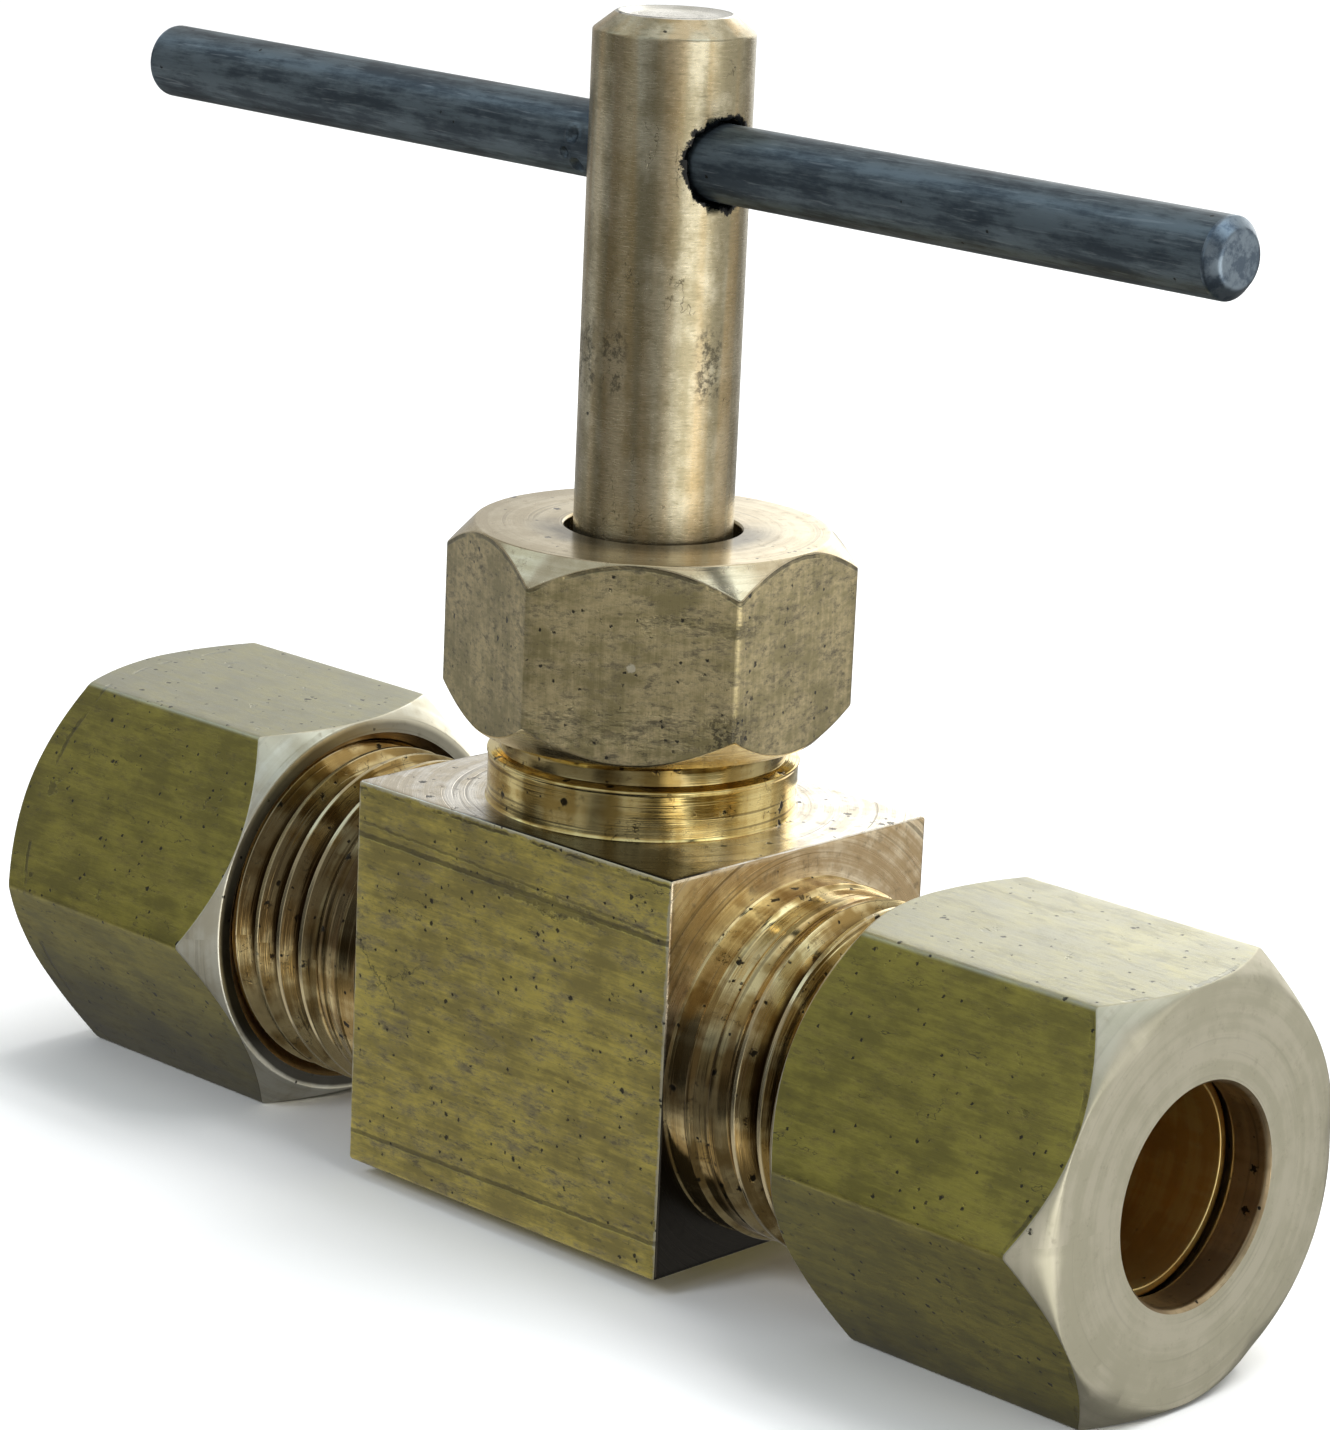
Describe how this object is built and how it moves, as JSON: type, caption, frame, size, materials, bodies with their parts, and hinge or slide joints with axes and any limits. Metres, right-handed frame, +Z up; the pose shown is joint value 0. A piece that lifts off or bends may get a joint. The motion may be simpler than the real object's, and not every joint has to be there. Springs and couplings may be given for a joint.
{
  "type": "needle valve",
  "caption": "Straight needle valve: square brass block, compression nut and ferrule on each side, screwed stem with a tee bar and a packing nut on top.",
  "frame": {"origin": "centre of the block's flat underside, straight below the point where the stem axis meets the run axis", "axes": "+Z up along the stem axis, +X along the run from the inlet to the outlet, +Y to the back of the block"},
  "size_m": [0.0462, 0.0146, 0.0375],
  "materials": {
    "body_brass": "drawn bar stock, dull olive gold with machined ends",
    "nut_brass": "satin, pale gold, turned ends",
    "stem_brass": "satin turned, khaki",
    "inner_brass": "bright turned",
    "bar_steel": "dark drawn steel",
    "needle_steel": "ground",
    "packing_graphite": "matt black packing"
  },
  "bodies": {
    "body": {"valve_body": "body_brass", "packing_ring_upper": "packing_graphite", "packing_ring_lower": "packing_graphite", "packing_washer": "inner_brass"},
    "needle": {"needle_tip": "needle_steel"},
    "stem": {"needle_stem": "stem_brass", "tee_bar": "bar_steel"},
    "gland": {"gland_follower": "inner_brass"},
    "bonnet_nut": {"packing_nut": "nut_brass"},
    "inlet_sleeve": {"inlet_ferrule": "inner_brass"},
    "inlet_coupling_nut": {"inlet_nut": "nut_brass"},
    "outlet_sleeve": {"outlet_ferrule": "inner_brass"},
    "outlet_coupling_nut": {"outlet_nut": "nut_brass"}
  },
  "joints": [
    {"name": "needle_lift", "type": "slide", "parent": "body", "child": "needle", "axis": [0, 0, 1], "range_m": [0, 0.0025]},
    {"name": "stem_turn", "type": "hinge", "parent": "needle", "child": "stem", "pos_m": [0, 0, 0.00596], "axis": [0, 0, 1], "range_deg": [0, 990]},
    {"name": "gland_lift", "type": "slide", "parent": "body", "child": "gland", "axis": [0, 0, 1], "range_m": [0, 0.00251]},
    {"name": "packing_nut_turn", "type": "hinge", "parent": "gland", "child": "bonnet_nut", "pos_m": [0, 0, 0.00596], "axis": [0, 0, 1], "range_deg": [0, 850]},
    {"name": "inlet_ferrule_slide", "type": "slide", "parent": "body", "child": "inlet_sleeve", "axis": [1, 0, 0], "range_m": [-0.00254, 0.00189]},
    {"name": "inlet_nut_turn", "type": "hinge", "parent": "inlet_sleeve", "child": "inlet_coupling_nut", "pos_m": [-0.018, 0, 0.00596], "axis": [1, 0, 0], "range_deg": [-860, 640]},
    {"name": "outlet_ferrule_slide", "type": "slide", "parent": "body", "child": "outlet_sleeve", "axis": [1, 0, 0], "range_m": [-0.00119, 0.00295]},
    {"name": "outlet_nut_turn", "type": "hinge", "parent": "outlet_sleeve", "child": "outlet_coupling_nut", "pos_m": [0.018, 0, 0.00596], "axis": [1, 0, 0], "range_deg": [-400, 1000]}
  ],
  "couplings": [
    {"joint": "needle_lift", "follows": "stem_turn", "m_per_rad": 0.00014438},
    {"joint": "gland_lift", "follows": "packing_nut_turn", "m_per_rad": 0.00016844},
    {"joint": "inlet_ferrule_slide", "follows": "inlet_nut_turn", "m_per_rad": 0.00016844},
    {"joint": "outlet_ferrule_slide", "follows": "outlet_nut_turn", "m_per_rad": 0.00016844}
  ]
}
